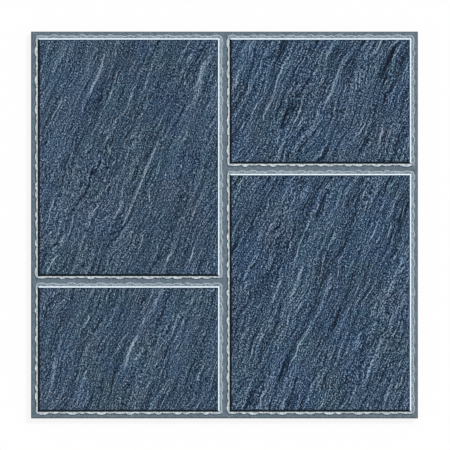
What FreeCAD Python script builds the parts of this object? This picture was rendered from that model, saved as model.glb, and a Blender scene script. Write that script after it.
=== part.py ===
import FreeCAD, Part
import math
import os

# Garden paving tile: one pressed and fired ceramic body.  Its face is moulded as four riven slabs,
# two long and two short, laid head to tail with a sunken joint between them.
# Lengths are in millimetres.  +Z is up, the origin is the centre of the bedding side, and the slabs
# run along Y.
#
# Levels, from the top down:
#   slab tops      flat planes at the full thickness
#   rim ledge      a low step with a scalloped outer edge, all round each slab
#   joint floor    the sunken strip between the ledges and out to the tile's edge
#   key pockets    shallow pockets in the bedding side that the mortar grips

# ---- driving dimensions --------------------------------------------------------------------------

tile_x = 400.0               # across the two columns of slabs
tile_y = 400.0               # along the slabs
tile_thickness = 12.0        # bedding plane to slab tops

border = 8.3                 # tile edge to the top edge of a slab
joint = 13.2                 # top edge to top edge of neighbouring slabs
short_slab_y = 127.0         # length of each short slab; the long one takes the rest of its column

bevel_run = 1.3              # slab's top edge to the foot of its steep side, seen from above
ledge_depth = 0.9            # slab top down to the rim ledge
joint_depth = 1.6            # slab top down to the joint floor

ledge_notch = 1.2            # ledge width at the notches between two scallops
ledge_crest = 2.7            # ledge width at the crest of a mean scallop
ledge_corner = 2.2           # radius of the ledge round a slab's corner
ledge_flank = 0.4            # slope of the ledge's outer side, seen from above
scallop_pitch = 10.0         # mean length of one scallop along the edge
scallop_unevenness = 0.28    # share by which scallops differ in length and in crest width
length_beat = 2.4            # angle of the sine wave from one scallop's length to the next's, radians
crest_beat = 4.1             # the same for the crest widths
crest_lead = 2.0             # the crest wave starts this many times as far on as the length wave
side_phase = 1.7             # how much further on the waves start from one side to the next, radians
slab_phase = 0.9             # the same from one slab to the next

arris = 0.8                  # chamfer round the tile's upper edge, both ways

key_rows = 12                # pockets each way in the bedding side
key_depth = 0.8              # depth of a pocket
key_rib = 5.0                # rib between two pockets, at the bedding plane
key_rim = 12.0               # plain rim round the field of pockets
key_draft = 0.6              # slope of a pocket's walls, seen from below

# ---- derived sizes -------------------------------------------------------------------------------

slab_x = (tile_x - 2 * border - joint) / 2
long_slab_y = tile_y - 2 * border - joint - short_slab_y
ledge_z = tile_thickness - ledge_depth
joint_z = tile_thickness - joint_depth

left = -tile_x / 2 + border
right = joint / 2
bottom = -tile_y / 2 + border
top = tile_y / 2 - border

# Each slab's top face: its lowest x and y, then its two lengths.
slabs = [
    (left, top - long_slab_y, slab_x, long_slab_y),
    (left, bottom, slab_x, short_slab_y),
    (right, top - short_slab_y, slab_x, short_slab_y),
    (right, bottom, slab_x, long_slab_y),
]


def grown(block, margin):
    """The rectangle (x, y, length_x, length_y) with every side moved out by a margin."""
    x, y, length_x, length_y = block
    return x - margin, y - margin, length_x + 2 * margin, length_y + 2 * margin


def corners_of(block, z):
    """The four corners of a rectangle at height z, anticlockwise from the lowest x and y."""
    x, y, length_x, length_y = block
    return [
        FreeCAD.Vector(x, y, z),
        FreeCAD.Vector(x + length_x, y, z),
        FreeCAD.Vector(x + length_x, y + length_y, z),
        FreeCAD.Vector(x, y + length_y, z),
    ]


def frustum(low_block, low_z, high_block, high_z):
    """A solid with flat sides between two rectangles at two heights."""
    low = corners_of(low_block, low_z)
    high = corners_of(high_block, high_z)
    outlines = [Part.makePolygon(points + points[:1]) for points in (low, high)]
    return Part.makeLoft(outlines, True, True)


def scallop_marks(length, phase):
    """Divides one side into uneven scallops: where each ends along the side, and its crest width."""
    count = max(3, round(length / scallop_pitch))
    lengths = [1 + scallop_unevenness * math.sin(length_beat * k + phase) for k in range(count)]
    ends = [0.0]
    for share in lengths:
        ends.append(ends[-1] + share * length / sum(lengths))
    waves = [math.sin(crest_beat * k + crest_lead * phase) for k in range(count)]
    crests = [ledge_crest * (1 + scallop_unevenness * wave) for wave in waves]
    return ends, crests


def arc(start, middle, end):
    """The edge of a circular arc through three points."""
    return Part.Arc(start, middle, end).toShape()


def ledge_outline(block, flank, z, phase):
    """A closed wire of scallops round a rectangle, `flank` further out than the ledge's top edge."""
    corners = corners_of(block, z)
    outward = [
        FreeCAD.Vector(0, -1, 0),
        FreeCAD.Vector(1, 0, 0),
        FreeCAD.Vector(0, 1, 0),
        FreeCAD.Vector(-1, 0, 0),
    ]
    edges = []
    for side in range(4):
        first = corners[side]
        last = corners[(side + 1) % 4]
        out = outward[side]
        next_out = outward[(side + 1) % 4]
        length = (last - first).Length
        along = (last - first) / length
        ends, crests = scallop_marks(length, phase + side_phase * side)
        notches = [ledge_corner] + [ledge_notch] * (len(crests) - 1) + [ledge_corner]
        marks = [first + along * end + out * (notch + flank) for end, notch in zip(ends, notches)]
        for k, crest in enumerate(crests):
            middle = first + along * ((ends[k] + ends[k + 1]) / 2) + out * (crest + flank)
            edges.append(arc(marks[k], middle, marks[k + 1]))
        reach = ledge_corner + flank
        diagonal = (out + next_out) / math.sqrt(2)
        edges.append(arc(marks[-1], last + diagonal * reach, last + next_out * reach))
    return Part.Wire(edges)


def base():
    """The body under the joint floor, with its upper edge chamfered."""
    outline = (-tile_x / 2, -tile_y / 2, tile_x, tile_y)
    block = frustum(outline, 0, outline, joint_z - arris)
    return block.fuse(frustum(outline, joint_z - arris, grown(outline, -arris), joint_z))


def ledge(block, phase):
    """The scalloped step round one slab, from the joint floor to the ledge."""
    foot = grown(block, bevel_run)
    outlines = [
        ledge_outline(foot, ledge_flank, joint_z, phase),
        ledge_outline(foot, 0, ledge_z, phase),
    ]
    return Part.makeLoft(outlines, True, True)


def slab(block):
    """One slab above the ledge, its steep sides leaning in to the top face."""
    return frustum(grown(block, bevel_run), ledge_z, block, tile_thickness)


def key_pocket(column, row):
    """One pocket of the bedding side, narrower at its floor."""
    length_x = (tile_x - 2 * key_rim - (key_rows - 1) * key_rib) / key_rows
    length_y = (tile_y - 2 * key_rim - (key_rows - 1) * key_rib) / key_rows
    x = -tile_x / 2 + key_rim + column * (length_x + key_rib)
    y = -tile_y / 2 + key_rim + row * (length_y + key_rib)
    mouth = (x, y, length_x, length_y)
    return frustum(mouth, 0, grown(mouth, -key_draft), key_depth)


def tile():
    """The whole tile as one solid."""
    raised = [ledge(block, slab_phase * k) for k, block in enumerate(slabs)]
    raised += [slab(block) for block in slabs]
    body = base().multiFuse(raised).removeSplitter()
    pockets = [key_pocket(column, row) for column in range(key_rows) for row in range(key_rows)]
    return body.cut(Part.makeCompound(pockets))


os.makedirs("parts", exist_ok=True)
shape = tile()
print("tile: solids", len(shape.Solids), "faces", len(shape.Faces), "valid", shape.isValid())
print("volume, cm3:", round(shape.Volume / 1000, 2))
shape.Solids[0].exportStep("parts/tile.step")
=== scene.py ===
# %% [markdown]
# # Garden paving tile with a riven slate face
#
# The tile is one pressed and fired ceramic body.  Its face imitates four slabs of split slate, each
# with a bevelled edge and a scalloped pale rim, in a sunken joint.  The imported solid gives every
# size: this script measures it and draws a finer skin over it.

import bpy
import numpy as np
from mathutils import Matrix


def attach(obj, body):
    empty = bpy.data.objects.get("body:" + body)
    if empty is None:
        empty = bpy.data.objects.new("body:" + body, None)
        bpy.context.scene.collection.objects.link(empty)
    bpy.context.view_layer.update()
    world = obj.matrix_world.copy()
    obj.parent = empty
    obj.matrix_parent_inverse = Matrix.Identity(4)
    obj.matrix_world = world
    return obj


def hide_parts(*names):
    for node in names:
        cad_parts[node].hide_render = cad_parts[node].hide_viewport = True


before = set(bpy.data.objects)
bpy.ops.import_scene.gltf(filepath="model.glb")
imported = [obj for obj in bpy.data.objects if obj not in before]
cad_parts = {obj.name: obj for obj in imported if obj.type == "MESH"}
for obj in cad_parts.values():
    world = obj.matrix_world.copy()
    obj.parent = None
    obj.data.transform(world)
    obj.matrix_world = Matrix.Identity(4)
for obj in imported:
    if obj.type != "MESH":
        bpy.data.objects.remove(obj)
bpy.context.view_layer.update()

# %% [markdown]
# ## What the solid says
#
# Levels and outlines could be typed in again, but then two files would have to be kept alike.
# Here they are read from the solid's own corner points: its heights are the levels of the face, and
# the points at the highest level are the corners of the four slabs.

# %% Measure the levels
MM = 0.001
hair = 1e-7  # metres: places closer than this are the same
near_level = 0.02 * MM
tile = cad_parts["tile"]
points = np.empty(3 * len(tile.data.vertices))
tile.data.vertices.foreach_get("co", points)
points = points.reshape(-1, 3)

levels = np.unique(np.round(points[:, 2], 5))
bed_z, pocket_z, side_z, joint_z, flank_z, ledge_z, top_z = levels
half_x = points[:, 0].max()
half_y = points[:, 1].max()
arris = joint_z - side_z
print("levels, mm:", np.round(levels / MM, 2))

# %% Measure the slabs
def at_level(z):
    """The x and y of the solid's points at one height, to the nearest hundredth of a millimetre."""
    return np.round(points[np.abs(points[:, 2] - z) < near_level, :2], 5)


top_points = at_level(top_z)
slabs = []
for in_column in (top_points[:, 0] < 0, top_points[:, 0] > 0):
    column = top_points[in_column]
    x_low, x_high = column[:, 0].min(), column[:, 0].max()
    y_1, y_2, y_3, y_4 = np.unique(column[:, 1])
    slabs.append((x_low, x_high, y_1, y_2))
    slabs.append((x_low, x_high, y_3, y_4))
slabs = np.array(slabs)
joint = slabs[2, 0] - slabs[0, 1]
joint_middles = np.array([(slabs[0, 3] + slabs[1, 2]) / 2, (slabs[2, 3] + slabs[3, 2]) / 2])
print("slabs, mm (x low, x high, y low, y high):")
print(np.round(slabs / MM, 1))

# %% [markdown]
# ## The scalloped rim
#
# Round each slab runs a low ledge with a scalloped outer edge, as chipped slate has.  The solid has
# that edge as a chain of points at the ledge's height.  For each side of a slab they are sorted
# along the side, and the width of the ledge anywhere on it is interpolated between them.

# %% Measure the rim
ledge_points = at_level(ledge_z)
corner_gaps = ledge_points - slabs[3, [1, 3]]
corner_gaps = corner_gaps[corner_gaps.min(axis=1) > 0.1 * MM]
even = np.abs(corner_gaps[:, 0] - corner_gaps[:, 1]) < near_level
foot = corner_gaps[even].min()
above_foot = np.abs(corner_gaps[:, 0] - foot) < near_level
corner_reach = corner_gaps[above_foot, 1].max() - foot
print("bevel's foot, mm:", round(foot / MM, 3))


def widths(level_points, slab, axis, outward):
    """One side of one slab: places along it, and how far the points lie out from the bevel there."""
    edge = slab[2 * axis + (1 if outward > 0 else 0)]
    low, high = slab[2 - 2 * axis], slab[3 - 2 * axis]
    width = outward * (level_points[:, axis] - edge) - foot
    along = level_points[:, 1 - axis]
    near = (width > 0.3 * MM) & (width < joint / 2 - foot)
    near &= (along > low - foot - 10 * hair) & (along < high + foot + 10 * hair)
    order = np.argsort(along[near])
    return along[near][order], width[near][order]


notch = widths(ledge_points, slabs[3], 0, 1)[1].min()
flank = widths(at_level(joint_z), slabs[3], 0, 1)[1].min() - notch
print("points on one scalloped side:", len(widths(ledge_points, slabs[0], 0, 1)[0]))
print("corner, notch and flank, mm:", np.round(np.array([corner_reach, notch, flank]) / MM, 3))

# %% [markdown]
# ## One grid for the whole face
#
# The face is a height over x and y, so one grid of lines can carry all of it.  Lines pass exactly
# through each slab's edge, the foot of its bevel, the ledge and its flank, so those folds stay
# crisp.  Elsewhere the lines are evenly spaced.  The alternative, one dense even grid, would need
# many more faces and would still cut the straight edges into steps.

# %% Lay out the grid lines
line_spacing = 1.38 * MM
ring_lines = foot * np.arange(4)


def grid_lines(half, edges, middles):
    """Lines through every fold, filled in evenly between them."""
    marks = [-half, -half + arris, half - arris, half]
    marks += list(middles)
    for low, high in edges:
        marks += list(low - ring_lines) + list(high + ring_lines)
    marks = np.unique(np.round(marks, 6))
    counts = np.maximum(1, np.ceil(np.diff(marks) / line_spacing)).astype(int)
    spans = [np.linspace(a, b, n, endpoint=False) for a, b, n in zip(marks, marks[1:], counts)]
    return np.append(np.concatenate(spans), marks[-1])


x_lines = grid_lines(half_x, slabs[::2, :2], [0.0])
y_lines = grid_lines(half_y, slabs[:, 2:], joint_middles)
print("grid lines:", len(x_lines), "x", len(y_lines))


# %% Find every point's slab and its distance from that slab's edges
def slab_of(x, y):
    """The number of the slab that a point belongs to: the column, then which side of its joint."""
    column = (x > 0).astype(int)
    return 2 * column + (y > joint_middles[column])


def beyond(x, y, slab):
    """How far a point lies outside its slab's edges: along x, along y, and towards which sides."""
    low_x, high_x, low_y, high_y = slabs[slab].T
    side_x = np.where(x > (low_x + high_x) / 2, 1.0, -1.0)
    side_y = np.where(y > (low_y + high_y) / 2, 1.0, -1.0)
    out_x = np.maximum(x - high_x, low_x - x)
    out_y = np.maximum(y - high_y, low_y - y)
    return out_x, out_y, side_x, side_y


flat_x, flat_y = np.meshgrid(x_lines, y_lines, indexing="ij")
grid_shape = flat_x.shape
flat_x = flat_x.ravel()
flat_y = flat_y.ravel()
slab_number = slab_of(flat_x, flat_y)
out_x, out_y, side_x, side_y = beyond(flat_x, flat_y, slab_number)
out = np.maximum(out_x, out_y)
print("points on the face:", len(flat_x))

# %% [markdown]
# ## Riven slate as a formula
#
# Split slate breaks along thin layers that end in ragged lips, all drawn out one way.  The relief is
# a sum of soft random waves, stretched along that direction, and rounded down to whole layers with a
# short ramp at each lip.  Sculpting would give the same look but couldn't be repeated for each slab.

# %% Soft random waves
streak_angle = np.radians(68)
random_table = np.random.default_rng(11).random((256, 256))


def soft_noise(x, y, seed):
    """Random heights at whole numbers, blended between them by 3t^2 - 2t^3, from 0 to 1."""
    x = x + 17.31 * seed
    y = y + 41.77 * seed
    column = np.floor(x).astype(int)
    row = np.floor(y).astype(int)
    across = x - column
    up = y - row
    across = across * across * (3 - 2 * across)
    up = up * up * (3 - 2 * up)
    near = random_table[column % 256, row % 256]
    right = random_table[(column + 1) % 256, row % 256]
    above = random_table[column % 256, (row + 1) % 256]
    far = random_table[(column + 1) % 256, (row + 1) % 256]
    low_side = near + (right - near) * across
    high_side = above + (far - above) * across
    return low_side + (high_side - low_side) * up


# %% The relief of the slabs
riven_depth = 0.66 * MM
slab_drift = 390.0


def riven_layers(x, y, slab):
    """Height counted in layers: broad swells, fibres and ragged ends, stretched along the streaks."""
    x = x / MM + slab_drift * slab
    y = y / MM
    along = x * np.cos(streak_angle) + y * np.sin(streak_angle)
    across = y * np.cos(streak_angle) - x * np.sin(streak_angle)
    across = across + 9 * soft_noise(along / 55, across / 38, 1)
    swell = soft_noise(along / 90, across / 19, 2)
    fibre = soft_noise(along / 30, across / 6.5, 3)
    ragged = soft_noise(along / 9, across / 3.4, 4)
    return 4.2 * swell + 2.2 * fibre + 0.7 * ragged


layers = riven_layers(flat_x, flat_y, slab_number)
whole = np.floor(layers)
lip = np.clip((layers - whole - 0.62) / 0.38, 0, 1)
stepped = whole + lip * lip * (3 - 2 * lip)
on_slab = out < hair

# %% The main clefts and ridges
# Each is a place on the face, half its length along the streaks and half its width, all in mm,
# and how far it sinks, counted in layers: above 0 for a cleft, below 0 for a ridge.
main_breaks = [
    (66, 114, 15, 2.7, 2.6),
    (168, 168, 20, 1.9, 1.2),
    (146, -107, 16, 2.2, 1.6),
    (184, 8, 26, 1.9, 1.2),
    (100, 20, 18, 2.0, 1.0),
    (60, -150, 15, 2.0, 1.1),
    (-87, 43, 50, 1.5, -1.2),
    (-131, 155, 30, 1.4, -1.0),
    (-26, 155, 20, 1.4, -1.0),
    (-98, -131, 20, 1.5, -1.2),
    (110, 140, 22, 1.4, -0.9),
    (75, -60, 26, 1.4, -0.9),
]


def broken_by(mark):
    """A bell over the distance along the streak, times a bell over the distance across it."""
    x, y, half_length, half_width, sinks = mark
    from_x = flat_x / MM - x
    from_y = flat_y / MM - y
    along = from_x * np.cos(streak_angle) + from_y * np.sin(streak_angle)
    across = from_y * np.cos(streak_angle) - from_x * np.sin(streak_angle)
    across = across + 3.2 * (soft_noise(along / 11, across * 0 + x, 7) - 0.5)
    return sinks * np.exp(-((along / half_length) ** 4) - (across / half_width) ** 2)


breaks = sum(broken_by(mark) for mark in main_breaks)
height = 0.75 * stepped + 0.25 * layers - 0.8 * breaks
sunk = (height[on_slab].max() - height) / np.ptp(height[on_slab])
relief = np.where(on_slab, riven_depth * sunk, 0.0)
print("relief, mm: mean", round(relief[on_slab].mean() / MM, 3), "most", round(relief.max() / MM, 3))


# %% [markdown]
# ## Bend the grid to the scallops
#
# Beside a slab, a point's distance from the edge is stretched so that the ledge's line falls on the
# scallops, and the stretch dies out by the middle of the joint, where the next slab's lines begin.
# Past a corner the same lines turn on a small circle.

# %% Place the ledge's lines
reach = joint / 2


def stretched(distance, width):
    """Maps even ring lines to the bevel's foot, the ledge's edge, the flank's foot and the joint."""
    ledge = np.clip(distance / foot - 1, 0, 1) * width
    slope = np.clip(distance / foot - 2, 0, 1) * flank
    rest = np.clip((distance - 3 * foot) / (reach - 3 * foot), 0, 1)
    past = np.maximum(distance - reach, 0)
    return np.minimum(distance, foot) + ledge + slope + rest * (reach - foot - width - flank) + past


shift_x = np.zeros_like(flat_x)
shift_y = np.zeros_like(flat_y)
for number, slab in enumerate(slabs):
    for outward in (-1, 1):
        along, width = widths(ledge_points, slab, 0, outward)
        here = (slab_number == number) & (side_x == outward) & (out_x > 0) & (out_y <= foot + hair)
        new = stretched(out_x[here], np.interp(flat_y[here], along, width))
        shift_x[here] = outward * (new - out_x[here])
        along, width = widths(ledge_points, slab, 1, outward)
        here = (slab_number == number) & (side_y == outward) & (out_y > 0) & (out_x <= foot + hair)
        new = stretched(out_y[here], np.interp(flat_x[here], along, width))
        shift_y[here] = outward * (new - out_y[here])

# %% Turn the lines round the corners
corner = (out_x > foot + hair) & (out_y > foot + hair)
past_x = out_x[corner] - foot
past_y = out_y[corner] - foot
ring = np.maximum(past_x, past_y)
turn = np.pi / 4 * np.minimum(past_x, past_y) / ring
radius = np.interp(ring, [0, foot, 2 * foot], [0, corner_reach, corner_reach + flank])
long_leg = radius * np.cos(turn)
short_leg = radius * np.sin(turn)
round_x = np.where(past_x >= past_y, long_leg, short_leg)
round_y = np.where(past_x >= past_y, short_leg, long_leg)
square = np.clip((ring - 2 * foot) / (reach - 3 * foot), 0, 1)
shift_x[corner] = side_x[corner] * (1 - square) * (round_x - past_x)
shift_y[corner] = side_y[corner] * (1 - square) * (round_y - past_y)

# %% Heights of the face
edge_gap = np.minimum(half_x - np.abs(flat_x), half_y - np.abs(flat_y))
face_z = np.interp(out, foot * np.arange(4), [top_z, ledge_z, ledge_z, joint_z])
face_z = face_z - relief - np.maximum(0, arris - edge_gap)
face_points = np.column_stack([flat_x + shift_x, flat_y + shift_y, face_z])
print("face heights, mm:", round(face_z.min() / MM, 3), "to", round(face_z.max() / MM, 3))

# %% [markdown]
# ## The bedding side and the walls
#
# The back of a pressed tile has rows of shallow pockets that the mortar grips.  Its grid only needs
# lines at the pockets' mouths and floors.  The four walls join the fine lines of the face to these
# few lines with one strip of triangles each, which stays flat because a wall is a plane.

# %% The back's grid
mouths_x = np.unique(at_level(bed_z)[:, 0])
mouths_y = np.unique(at_level(bed_z)[:, 1])
floors_x = np.unique(at_level(pocket_z)[:, 0])
floors_y = np.unique(at_level(pocket_z)[:, 1])
back_x_lines = np.union1d(mouths_x, floors_x)
back_y_lines = np.union1d(mouths_y, floors_y)


def in_pocket(lines, floors):
    """True for the lines that bound or cross a pocket's floor."""
    return np.isin(lines, floors)


floor_x, floor_y = np.meshgrid(
    in_pocket(back_x_lines, floors_x), in_pocket(back_y_lines, floors_y), indexing="ij"
)
back_x, back_y = np.meshgrid(back_x_lines, back_y_lines, indexing="ij")
back_z = np.where(floor_x & floor_y, pocket_z, bed_z)
back_points = np.column_stack([back_x.ravel(), back_y.ravel(), back_z.ravel()])
print("back lines:", back_x.shape)


# %% Faces of a grid and of a wall
def quads(rows, columns, start, upward):
    """Four-cornered faces between neighbouring lines, anticlockwise from the side they face."""
    index = start + np.arange(rows * columns).reshape(rows, columns)
    a, b, c, d = index[:-1, :-1], index[1:, :-1], index[1:, 1:], index[:-1, 1:]
    corners = (a, b, c, d) if upward else (a, d, c, b)
    return np.stack([part.ravel() for part in corners], axis=1)


def wall(high, high_at, low, low_at):
    """Triangles between two chains of points: each upper span joins the nearest lower point."""
    middle = (high_at[:-1] + high_at[1:]) / 2
    partner = np.clip(np.searchsorted((low_at[:-1] + low_at[1:]) / 2, middle), 0, len(low) - 1)
    down = np.stack([high[1:], high[:-1], low[partner]], axis=1)
    switch = np.searchsorted(partner, np.arange(1, len(low)))
    up = np.stack([low[:-1], low[1:], high[switch]], axis=1)
    return np.concatenate([down, up])


face_index = np.arange(len(flat_x)).reshape(grid_shape)
back_index = len(flat_x) + np.arange(back_x.size).reshape(back_x.shape)
face_quads = quads(*grid_shape, 0, True)
back_quads = quads(*back_x.shape, len(flat_x), False)
near_wall = wall(face_index[:, 0], x_lines, back_index[:, 0], back_x_lines)
far_wall = wall(face_index[:, -1], x_lines, back_index[:, -1], back_x_lines)[:, ::-1]
left_wall = wall(face_index[0, :], y_lines, back_index[0, :], back_y_lines)[:, ::-1]
right_wall = wall(face_index[-1, :], y_lines, back_index[-1, :], back_y_lines)
walls = np.concatenate([near_wall, far_wall, left_wall, right_wall])
print("faces:", len(face_quads), "face,", len(back_quads), "back,", len(walls), "walls")

# %% Make the mesh
all_points = np.concatenate([face_points, back_points])
quad_count = len(face_quads) + len(back_quads)
corner_points = np.concatenate([face_quads.ravel(), back_quads.ravel(), walls.ravel()])
sides = np.concatenate([np.full(quad_count, 4), np.full(len(walls), 3)])
starts = np.concatenate([[0], np.cumsum(sides)[:-1]])

mesh = bpy.data.meshes.new("tile_body")
mesh.vertices.add(len(all_points))
mesh.vertices.foreach_set("co", all_points.ravel())
mesh.loops.add(len(corner_points))
mesh.loops.foreach_set("vertex_index", corner_points.astype(np.int32))
mesh.polygons.add(len(sides))
mesh.polygons.foreach_set("loop_start", starts.astype(np.int32))
mesh.update(calc_edges=True)
mesh.validate(verbose=True)

# %% [markdown]
# ## What the finish needs to know
#
# The painted highlight and shade lines follow the bevels exactly, and change from light to dark where
# two bevels meet in a mitre.  A map on the mesh carries how far each corner of each face is from its
# slab's edges, with the sign of the side.  A face keeps its own values there, so two slabs can share
# the line between them.  Plain attributes carry the layer count and whether a face is glazed.

# %% The edge map
edge_inset = 10.0


def edge_map(x, y, slab):
    """Signed distances in mm: the inset at the slab's edge, more outside, less down to 0 inside."""
    out_x, out_y, side_x, side_y = beyond(x, y, slab)
    return np.stack(
        [
            side_x * np.maximum(edge_inset + out_x / MM, 0),
            side_y * np.maximum(edge_inset + out_y / MM, 0),
        ],
        axis=-1,
    )


corner_x = flat_x[face_quads]
corner_y = flat_y[face_quads]
face_slab = slab_of(corner_x.mean(axis=1), corner_y.mean(axis=1))
face_slab_corners = np.repeat(face_slab, 4)
edge_values = np.zeros((len(corner_points), 2))
edge_values[: len(face_quads) * 4] = edge_map(corner_x.ravel(), corner_y.ravel(), face_slab_corners)
mesh.uv_layers.new(name="edge_map")
mesh.uv_layers["edge_map"].data.foreach_set("uv", edge_values.ravel())

# %% The attributes
glazed = np.zeros(len(sides))
glazed[: len(face_quads)] = 1
mesh.attributes.new("glazed", "FLOAT", "FACE").data.foreach_set("value", glazed)

layer_values = np.zeros(len(all_points))
layer_values[: len(layers)] = layers
mesh.attributes.new("layers", "FLOAT", "POINT").data.foreach_set("value", layer_values)

break_values = np.zeros(len(all_points))
break_values[: len(breaks)] = np.where(out < 0.5 * MM, breaks, 0)
mesh.attributes.new("breaks", "FLOAT", "POINT").data.foreach_set("value", break_values)

slab_values = np.zeros(len(sides))
slab_values[: len(face_quads)] = face_slab
mesh.attributes.new("slab", "FLOAT", "FACE").data.foreach_set("value", slab_values)

quad_out = out[face_quads]
folded = (quad_out.min(axis=1) < 3 * foot - hair) & (quad_out.max(axis=1) > hair)
rolled = edge_gap[face_quads].min(axis=1) < arris - hair
smooth = np.zeros(len(sides), dtype=bool)
smooth[: len(face_quads)] = ~(folded | rolled)
mesh.polygons.foreach_set("use_smooth", smooth)
mesh.update()

body = bpy.data.objects.new("tile_body", mesh)
bpy.context.scene.collection.objects.link(body)
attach(body, "root")
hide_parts("tile")
triangles = 2 * quad_count + len(walls)
print("triangles:", triangles)


# %% [markdown]
# ## Shader maths as plain expressions
#
# A node tree for a finish this detailed is hard to read as a list of nodes and links.  One small
# class wraps a socket, so that + - * / between values add the Math nodes, and one method adds every
# other node.

# %% A socket that does sums
class Value:
    """An output socket; sums with it add Math nodes."""

    def __init__(self, finish, socket):
        self.finish = finish
        self.socket = socket

    def math(self, operation, first, second):
        return self.finish.node(
            "ShaderNodeMath", {"operation": operation}, {"Value": first, "Value_001": second}
        )

    def __add__(self, other):
        return self.math("ADD", self, other)

    def __radd__(self, other):
        return self.math("ADD", other, self)

    def __sub__(self, other):
        return self.math("SUBTRACT", self, other)

    def __rsub__(self, other):
        return self.math("SUBTRACT", other, self)

    def __mul__(self, other):
        return self.math("MULTIPLY", self, other)

    def __rmul__(self, other):
        return self.math("MULTIPLY", other, self)

    def __truediv__(self, other):
        return self.math("DIVIDE", self, other)

    def __gt__(self, other):
        return self.math("GREATER_THAN", self, other)

    def __abs__(self):
        return self.math("ABSOLUTE", self, 0.0)


# %% A finish that adds its own nodes
class Finish:
    """A material and the one method that adds a node to it."""

    def __init__(self, name):
        self.material = bpy.data.materials.new(name)
        self.material.use_nodes = True
        self.tree = self.material.node_tree
        self.tree.nodes.clear()

    def node(self, kind, settings, inputs, output=0):
        """Adds a node: settings first, then each socket's value or link; gives back one output."""
        node = self.tree.nodes.new(kind)
        for name, setting in settings.items():
            if name == "stops":
                self.set_stops(node.color_ramp, setting)
            else:
                setattr(node, name, setting)
        sockets = {socket.identifier: socket for socket in node.inputs}
        for name, value in inputs.items():
            if isinstance(value, Value):
                self.tree.links.new(value.socket, sockets[name])
            else:
                sockets[name].default_value = value
        outputs = {socket.identifier: socket for socket in node.outputs}
        if isinstance(output, str):
            return Value(self, outputs[output])
        return Value(self, node.outputs[output]) if len(node.outputs) else None

    @staticmethod
    def set_stops(ramp, stops):
        """Gives a colour ramp its stops, a list of positions and colours."""
        while len(ramp.elements) < len(stops):
            ramp.elements.new(1.0)
        for element, (position, colour) in zip(ramp.elements, stops):
            element.position = position
            element.color = colour


# %% Helpers for values and colours
def paint(red, green, blue):
    """A colour as mixed on a paint chart, 0 to 255, in the linear light that a shader uses."""
    chart = np.array([red, green, blue]) / 255
    linear = np.where(chart <= 0.04045, chart / 12.92, ((chart + 0.055) / 1.055) ** 2.4)
    return (*linear.tolist(), 1.0)


def ease(finish, value, start, end):
    """0 before the start, 1 past the end, and a smooth rise between."""
    return finish.node(
        "ShaderNodeMapRange",
        {"interpolation_type": "SMOOTHSTEP"},
        {"Value": value, "From Min": start, "From Max": end},
    )


def blend(finish, share, first, second):
    """The first colour where the share is 0, the second where it is 1."""
    return finish.node(
        "ShaderNodeMix",
        {"data_type": "RGBA"},
        {"Factor_Float": share, "A_Color": first, "B_Color": second},
        "Result_Color",
    )


def band(finish, value, low, high, soft):
    """1 between two values, with soft shoulders, and 0 outside them."""
    rise = ease(finish, value, low - soft, low + soft)
    fall = ease(finish, value, high - soft, high + soft)
    return rise * (1 - fall)


# %% [markdown]
# ## Grain along the split
#
# The slate's grain is drawn out along the split: fine pepper, short fibres, strands and long swells.
# Each is one noise, squeezed across the streaks and stretched along them, all in millimetres on the
# object, so the grain stays where it is from any side.  Each slab reads its own part of the noise.

# %% The grain's directions
glaze = Finish("slate_effect_glaze")
place = glaze.node("ShaderNodeTexCoord", {}, {}, "Object")
in_mm = glaze.node(
    "ShaderNodeVectorMath", {"operation": "SCALE"}, {"Vector": place, "Scale": 1 / MM}
)
slab_id = glaze.node("ShaderNodeAttribute", {"attribute_name": "slab"}, {}, "Fac")
slab_climb = 70.0
slab_step = glaze.node(
    "ShaderNodeCombineXYZ", {}, {"X": slab_id * slab_drift, "Y": slab_id * slab_climb}
)
moved = glaze.node(
    "ShaderNodeVectorMath", {"operation": "ADD"}, {"Vector": in_mm, "Vector_001": slab_step}
)
turned = glaze.node(
    "ShaderNodeVectorRotate",
    {"rotation_type": "Z_AXIS"},
    {"Vector": moved, "Angle": -float(streak_angle)},
)


spread = 8.0


def patches(size, seed):
    """Soft round patches about 0, of one mean size in mm: (noise - 0.5) times the spread."""
    spot = glaze.node(
        "ShaderNodeVectorMath",
        {"operation": "MULTIPLY_ADD"},
        {
            "Vector": moved,
            "Vector_001": (1 / size, 1 / size, 1 / size),
            "Vector_002": (seed, seed, seed),
        },
    )
    noise = glaze.node(
        "ShaderNodeTexNoise",
        {"noise_dimensions": "3D"},
        {"Vector": spot, "Scale": 1.0, "Detail": 1.0, "Roughness": 0.5},
        "Fac",
    )
    return (noise - 0.5) * spread


wander = 2.2 * patches(50.0, 52.0) + 0.55 * patches(9.0, 57.0)
sideways = glaze.node("ShaderNodeCombineXYZ", {}, {"Y": wander})
streak_place = glaze.node(
    "ShaderNodeVectorMath", {"operation": "ADD"}, {"Vector": turned, "Vector_001": sideways}
)


def streaks(length, width, detail, roughness, bend=0.0, start=streak_place, seed=0.0):
    """Noise about 0, of one mean length along the streaks and one width across them, in mm."""
    stretched_place = glaze.node(
        "ShaderNodeVectorMath",
        {"operation": "MULTIPLY_ADD"},
        {
            "Vector": start,
            "Vector_001": (1 / length, 1 / width, 1 / width),
            "Vector_002": (seed, 2.3 * seed, 0.7 * seed),
        },
    )
    noise = glaze.node(
        "ShaderNodeTexNoise",
        {"noise_dimensions": "3D"},
        {
            "Vector": stretched_place,
            "Scale": 1.0,
            "Detail": detail,
            "Roughness": roughness,
            "Distortion": bend,
        },
        "Fac",
    )
    return (noise - 0.5) * spread
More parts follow.
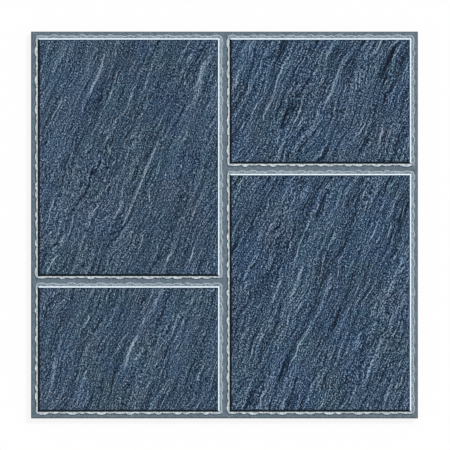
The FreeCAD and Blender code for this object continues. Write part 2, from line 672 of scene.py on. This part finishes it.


# %% [markdown]
# ## Light and dark flanks
#
# Split slate is read by its flanks: each ridge has a bright side and a dark one.  A plain noise has
# neither and looks like felt.  So the same wave is taken at two places a millimetre apart, and their
# difference paints a highlight on one flank and shade on the other, as if lit from one side.

# %% Waves with painted light and shade from one side
half_step = glaze.node("ShaderNodeCombineXYZ", {}, {"X": 0.3, "Y": 0.5})
uphill = glaze.node(
    "ShaderNodeVectorMath", {"operation": "ADD"}, {"Vector": streak_place, "Vector_001": half_step}
)
downhill = glaze.node(
    "ShaderNodeVectorMath",
    {"operation": "SUBTRACT"},
    {"Vector": streak_place, "Vector_001": half_step},
)


def painted_flanks(length, width, detail, roughness, bend, seed):
    """A wave's rise across one millimetre: a painted highlight on one flank of a ridge, painted shade
    on the other.
    """
    above = streaks(length, width, detail, roughness, bend, uphill, seed)
    below = streaks(length, width, detail, roughness, bend, downhill, seed)
    return above - below


def sparse(wave):
    """A wave times its own size, which leaves calm ground between fewer, sharper ridges."""
    return wave * abs(wave)


# %% [markdown]
# ## The slate's tone
#
# The waves add up to one tone, a brightness on the paint chart.  Over them come painted highlights on
# the thin ridges with painted shadow at their feet, a painted highlight on the lips of the layers in
# the mesh, painted shade in the clefts and painted highlights on the main ridges, so that paint and
# relief agree.  The slabs of the right column are a little rougher than the others.

# %% The slate's tone
pepper = streaks(1.5, 1.0, 0.0, 0.5, seed=3.1)
# Fibre, strand and swell carry a painted highlight and painted shade on their flanks.
fibre = painted_flanks(12.0, 1.9, 1.0, 0.5, 0.0, 5.7)
strand = painted_flanks(34.0, 5.0, 2.0, 0.55, 0.25, 9.2)
swell = painted_flanks(95.0, 14.0, 3.0, 0.6, 0.35, 13.4)
drift = streaks(120.0, 15.0, 1.0, 0.5, seed=17.9)
right_column = slab_id > 1.5
sharp = 24.0 * sparse(strand) + 95.0 * sparse(swell)
coarse = sharp * (1 + 0.4 * right_column) + 5.0 * drift
sunk_by = glaze.node("ShaderNodeAttribute", {"attribute_name": "breaks"}, {}, "Fac")
main_cleft = ease(glaze, sunk_by, 0.12, 0.95)
grain = (31.0 * pepper + 9.0 * fibre) * (1 + 0.2 * right_column) * (1 - 0.3 * main_cleft)
tone = 68.7 - 2.5 * right_column + grain + coarse
print("nodes for the grain:", len(glaze.tree.nodes))

# %% Painted highlights on lips and ridges, painted shade in clefts
layer_count = glaze.node("ShaderNodeAttribute", {"attribute_name": "layers"}, {}, "Fac")
layer_part = glaze.node("ShaderNodeMath", {"operation": "FRACT"}, {"Value": layer_count})
layer_lip = band(glaze, layer_part, 0.80, 0.93, 0.06)
ridge_wave = streaks(60.0, 11.0, 2.0, 0.5, bend=0.4, seed=71.0)
ridge_painted_highlight = band(glaze, ridge_wave, -0.01, 0.08, 0.05)
ridge_painted_shadow = band(glaze, ridge_wave, -0.20, -0.07, 0.07)
ridges_shown = ease(glaze, streaks(40.0, 14.0, 1.0, 0.5, seed=23.0), -0.3, 0.7)
cleft = ease(glaze, streaks(40.0, 5.0, 1.0, 0.5, seed=29.0), 1.0, 2.0)
# Painted highlight along the thin ridges, painted shadow at their feet, and a painted highlight on
# the lips of the layers.
tone = tone + (40.0 * ridge_painted_highlight - 20.0 * ridge_painted_shadow) * ridges_shown + 5.0 * layer_lip
# Painted shade in small clefts, deeper on the right column.
tone = tone - (6.0 + 18.0 * right_column) * cleft
# Painted highlight on the main ridges and painted shade in the main clefts, where the mesh rises and
# sinks.
tone = tone + 62.0 * ease(glaze, 0 - sunk_by, 0.3, 0.8) - 46.0 * main_cleft
print("nodes with ridges and clefts:", len(glaze.tree.nodes))

# %% [markdown]
# ## From tone to colour
#
# The tone runs from 0 to 170.  A ramp gives it the slate's colours: nearly black blue at the bottom,
# where the painted shade of the clefts falls, slate blue, and chalky blue at the top, where the
# painted highlights of ridges and lips fall.  Wide soft patches lean to navy, to teal and to a brown
# violet, as natural slate does, and the right column holds a little less red.

# %% The slate's colour
full_tone = 170.0
slate_colour = glaze.node(
    "ShaderNodeValToRGB",
    {
        "stops": [
            (0.05, paint(0, 10, 25)),
            (0.26, paint(20, 43, 66)),
            (0.476, paint(57, 82, 105)),
            (0.68, paint(97, 118, 139)),
            (0.95, paint(158, 171, 183)),
        ]
    },
    {"Fac": tone / full_tone},
    "Color",
)


def tinted(colour, share, tint):
    """Multiplies a colour by a tint, as far as the share says."""
    return glaze.node(
        "ShaderNodeMix",
        {"data_type": "RGBA", "blend_type": "MULTIPLY"},
        {"Factor_Float": share, "A_Color": colour, "B_Color": tint},
        "Result_Color",
    )


navy = ease(glaze, patches(46.0, 2.0), -1.0, 1.6)
teal = ease(glaze, patches(34.0, 8.0), -0.6, 1.8)
violet = ease(glaze, patches(30.0, 14.0), -0.4, 1.8)
slate_colour = tinted(slate_colour, navy, (0.92, 0.98, 1.07, 1.0))
slate_colour = tinted(slate_colour, teal, (0.95, 1.02, 0.95, 1.0))
slate_colour = tinted(slate_colour, violet, (1.07, 0.98, 0.96, 1.0))
slate_colour = tinted(slate_colour, right_column, (0.90, 0.97, 1.02, 1.0))
print("nodes with the colours of slate:", len(glaze.tree.nodes))

# %% [markdown]
# ## Joint, rim and edge lines
#
# The joint is printed as a smooth blue grey mortar.  Every slab has a pale chipped rim, painted in
# one tone on the sides that face the lamp and a paler one on the others.  Its bevels carry painted
# light: a white highlight where they face up or right, and near black shade where they face down or
# left.  The rim's wavy outline carries a painted highlight or painted shade the same way, and a thin
# line of painted shade runs inside each edge.  The edge map gives the distance from the slab's edge
# and tells which bevel a place is on.

# %% Where each print and each painted highlight and shade lies
edge_place = glaze.node("ShaderNodeUVMap", {"uv_map": "edge_map"}, {}, "UV")
map_x = glaze.node("ShaderNodeSeparateXYZ", {}, {"Vector": edge_place}, "X")
map_y = glaze.node("ShaderNodeSeparateXYZ", {}, {"Vector": edge_place}, "Y")
gap_x = abs(map_x) - edge_inset
gap_y = abs(map_y) - edge_inset
gap = glaze.node("ShaderNodeMath", {"operation": "MAXIMUM"}, {"Value": gap_x, "Value_001": gap_y})
x_leads = gap_x > gap_y
# Which sides face the lamp: they get the painted highlights, and the other sides get the painted
# shade.
lit = x_leads * (map_x > 0.0) + (1 - x_leads) * (map_y > 0.0)
foot_mm = float(foot / MM)
print("bevel seen from above, mm:", round(foot_mm, 2))

# %% The joint's colour
mottle = patches(4.5, 21.0)
speck = streaks(1.6, 1.3, 1.0, 0.5, seed=31.0)
full_pale_tone = 200.0
joint_tone = 113 + 5.0 * mottle + 11.0 * speck
joint_colour = glaze.node(
    "ShaderNodeValToRGB",
    {
        "stops": [
            (0.30, paint(62, 76, 88)),
            (0.57, paint(99, 115, 127)),
            (0.85, paint(148, 161, 170)),
        ]
    },
    {"Fac": joint_tone / full_pale_tone},
    "Color",
)
green_cast = ease(glaze, patches(9.0, 40.0), 0.0, 1.6)
joint_colour = tinted(joint_colour, green_cast, (0.93, 1.03, 1.0, 1.0))
pink_cast = ease(glaze, patches(9.0, 47.0), 0.0, 1.6)
joint_colour = tinted(joint_colour, pink_cast, (1.05, 0.96, 1.03, 1.0))

# %% The rim's colours, with painted highlights and shade
rim_grain = streaks(2.4, 1.7, 1.0, 0.5, seed=37.0)
rim_light = ease(glaze, rim_grain, -1.4, 1.6)
# Painted light: the rim takes one tone on the sides facing the lamp and a paler one on the sides away
# from it.
lit_rim = blend(glaze, rim_light, paint(106, 122, 134), paint(154, 168, 179))
dim_rim = blend(glaze, rim_light, paint(158, 172, 182), paint(214, 224, 230))
rim_print_and_painted_light = blend(glaze, lit, dim_rim, lit_rim)
line_start = foot_mm * (1.95 + 0.05 * lit)
rim_share = band(glaze, gap, foot_mm, line_start, 0.12)
# The rim's wavy outline: a painted highlight on the sides facing the lamp, painted shade on the
# others.
outline_painted_share = band(glaze, gap, line_start, 3.3 * foot_mm, 0.25)
outline_highlight_and_shade = blend(glaze, lit, paint(66, 80, 91), paint(182, 196, 205))
# The bevels: a painted highlight, white, on the sides facing the lamp; painted shade, near black, on
# the others.
bevel_painted_share = band(glaze, gap, 0.0, foot_mm + 0.1 * (1 - lit), 0.08)
bevel_highlight_and_shade = blend(glaze, lit, paint(0, 8, 14), paint(232, 246, 255))
# A thin line of painted shade just inside each slab's edge.
inner_shade_share = band(glaze, gap, -0.9 - 0.2 * lit, 0.0, 0.2) * (0.95 - 0.25 * lit)
inner_painted_shade = blend(glaze, lit, paint(4, 13, 20), paint(28, 43, 56))
print("nodes with the joint and the rim:", len(glaze.tree.nodes))

# %% Lay the prints and the painted highlights and shade over each other
glaze_colour = blend(glaze, ease(glaze, gap, -0.08, 0.08), slate_colour, joint_colour)
glaze_colour = blend(glaze, inner_shade_share, glaze_colour, inner_painted_shade)
glaze_colour = blend(glaze, outline_painted_share, glaze_colour, outline_highlight_and_shade)
glaze_colour = blend(glaze, rim_share, glaze_colour, rim_print_and_painted_light)
glaze_colour = blend(glaze, bevel_painted_share, glaze_colour, bevel_highlight_and_shade)

# %% Darken the tile's own arris
from_middle_x = abs(glaze.node("ShaderNodeSeparateXYZ", {}, {"Vector": in_mm}, "X"))
from_middle_y = abs(glaze.node("ShaderNodeSeparateXYZ", {}, {"Vector": in_mm}, "Y"))
from_edge_x = float(half_x / MM) - from_middle_x
from_edge_y = float(half_y / MM) - from_middle_y
from_edge = glaze.node(
    "ShaderNodeMath", {"operation": "MINIMUM"}, {"Value": from_edge_x, "Value_001": from_edge_y}
)
edge_share = 0.6 - 0.6 * ease(glaze, from_edge, 0.5, 1.5)
glaze_colour = blend(glaze, edge_share, glaze_colour, paint(66, 81, 93))
print("nodes in the whole glaze:", len(glaze.tree.nodes))

# %% [markdown]
# ## The bare body
#
# The glaze ends at the upper arris.  Walls and bedding side show the fired body: a warm grey
# stoneware with a fine dark and pale speckle.

# %% The body's colour
body_tone = 128 + 5.0 * patches(14.0, 60.0) + 8.0 * patches(1.3, 66.0)
body_colour = glaze.node(
    "ShaderNodeValToRGB",
    {
        "stops": [
            (0.30, paint(78, 77, 74)),
            (0.64, paint(131, 129, 124)),
            (0.90, paint(174, 172, 166)),
        ]
    },
    {"Fac": body_tone / full_pale_tone},
    "Color",
)
glazed_share = glaze.node("ShaderNodeAttribute", {"attribute_name": "glazed"}, {}, "Fac")
full_colour = blend(glaze, glazed_share, body_colour, glaze_colour)

# %% The surface's feel
on_slate = 1 - ease(glaze, gap, -0.08, 0.08)
slate_height = 0.04 * pepper + 0.05 * fibre + 0.06 * strand + 0.06 * swell
joint_height = 0.03 * speck + 0.05 * mottle
glaze_height = joint_height + on_slate * (slate_height - joint_height)
body_height = 0.03 * patches(1.3, 66.0)
surface_height = body_height + glazed_share * (glaze_height - body_height)
bump = glaze.node(
    "ShaderNodeBump",
    {},
    {"Height": surface_height, "Distance": MM, "Strength": 0.6},
)
roughness = 0.72 - 0.02 * fibre + 0.05 * on_slate * layer_lip
shader = glaze.node(
    "ShaderNodeBsdfPrincipled",
    {},
    {
        "Base Color": full_colour,
        "Roughness": roughness,
        "Specular IOR Level": 0.2,
        "Normal": bump,
    },
)
glaze.node("ShaderNodeOutputMaterial", {}, {"Surface": shader})
mesh.materials.append(glaze.material)
print("nodes in the finish:", len(glaze.tree.nodes))

# %% [markdown]
# ## Floor, light and camera
#
# The tile lies on a plain white floor.  One broad lamp from the upper right gives the relief its
# shading and an even sky fills the rest, at a level where a colour renders about as it is mixed.  A
# long lens straight above keeps the tile's sides square.  The floor is clear from below and sends
# no shade or bounce up, so the bedding side can be looked at too.

# %% Floor
floor_half = 4.0
floor_z = -0.1 * MM
floor_mesh = bpy.data.meshes.new("floor")
floor_corners = [
    (-floor_half, -floor_half, floor_z),
    (floor_half, -floor_half, floor_z),
    (floor_half, floor_half, floor_z),
    (-floor_half, floor_half, floor_z),
]
floor_mesh.from_pydata(floor_corners, [], [(0, 1, 2, 3)])
floor = bpy.data.objects.new("floor", floor_mesh)
bpy.context.scene.collection.objects.link(floor)
floor.visible_shadow = False
floor.visible_diffuse = False

floor_paint = Finish("white_floor")
is_camera = floor_paint.node("ShaderNodeLightPath", {}, {}, "Is Camera Ray")
is_glossy = floor_paint.node("ShaderNodeLightPath", {}, {}, "Is Glossy Ray")
is_through = floor_paint.node("ShaderNodeLightPath", {}, {}, "Is Transmission Ray")
seen = floor_paint.node(
    "ShaderNodeMath",
    {"operation": "ADD", "use_clamp": True},
    {"Value": is_camera, "Value_001": is_glossy + is_through},
)
matt = floor_paint.node("ShaderNodeBsdfDiffuse", {}, {"Color": (0.97, 0.97, 0.97, 1.0)})
glow = floor_paint.node("ShaderNodeEmission", {}, {"Color": (1.0, 1.0, 1.0, 1.0), "Strength": 1.0})
glow_share = 0.86
floor_mix = floor_paint.node(
    "ShaderNodeMixShader", {}, {"Fac": glow_share * seen, "Shader": matt, "Shader_001": glow}
)
underside = floor_paint.node("ShaderNodeNewGeometry", {}, {}, "Backfacing")
clear = floor_paint.node("ShaderNodeBsdfTransparent", {}, {})
floor_sides = floor_paint.node(
    "ShaderNodeMixShader", {}, {"Fac": underside, "Shader": floor_mix, "Shader_001": clear}
)
floor_paint.node("ShaderNodeOutputMaterial", {}, {"Surface": floor_sides})
floor_mesh.materials.append(floor_paint.material)
print("floor below the tile, mm:", round(-floor_z / MM, 2))

# %% Sky
sky_level = 0.5
world = bpy.data.worlds.new("studio_sky")
bpy.context.scene.world = world
world.use_nodes = True
background = world.node_tree.nodes["Background"]
light_path = world.node_tree.nodes.new("ShaderNodeLightPath")
sky_mix = world.node_tree.nodes.new("ShaderNodeMapRange")
world.node_tree.links.new(light_path.outputs["Is Camera Ray"], sky_mix.inputs["Value"])
sky_mix.inputs["To Min"].default_value = sky_level
sky_mix.inputs["To Max"].default_value = 1.0
world.node_tree.links.new(sky_mix.outputs["Result"], background.inputs["Strength"])
background.inputs["Color"].default_value = (1.0, 1.0, 1.0, 1.0)
print("sky level:", sky_level)

# %% Lamp
lamp_height = np.radians(52)
lamp_bearing = np.radians(45)
lamp = bpy.data.lights.new("key_lamp", "SUN")
lamp.energy = float((1 - sky_level) * np.pi / np.sin(lamp_height))
lamp.angle = float(np.radians(14))
lamp_object = bpy.data.objects.new("key_lamp", lamp)
lamp_object.rotation_euler = (0, float(np.pi / 2 - lamp_height), float(lamp_bearing))
bpy.context.scene.collection.objects.link(lamp_object)
print("lamp strength:", round(lamp.energy, 2))

# %% Camera
camera_height = 6.0
tile_share = 0.86
seen_width = 2 * half_x / tile_share
camera = bpy.data.cameras.new("camera")
camera.sensor_width = 36.0
camera.lens = float(camera.sensor_width * (camera_height - top_z) / seen_width)
camera.clip_end = 100.0
camera_object = bpy.data.objects.new("camera", camera)
aim_x = 0.517 * MM
camera_object.location = (aim_x, 0.0, camera_height)
bpy.context.scene.collection.objects.link(camera_object)
bpy.context.scene.camera = camera_object
bpy.context.scene.view_settings.view_transform = "Standard"
print("lens, mm:", round(camera.lens, 1))
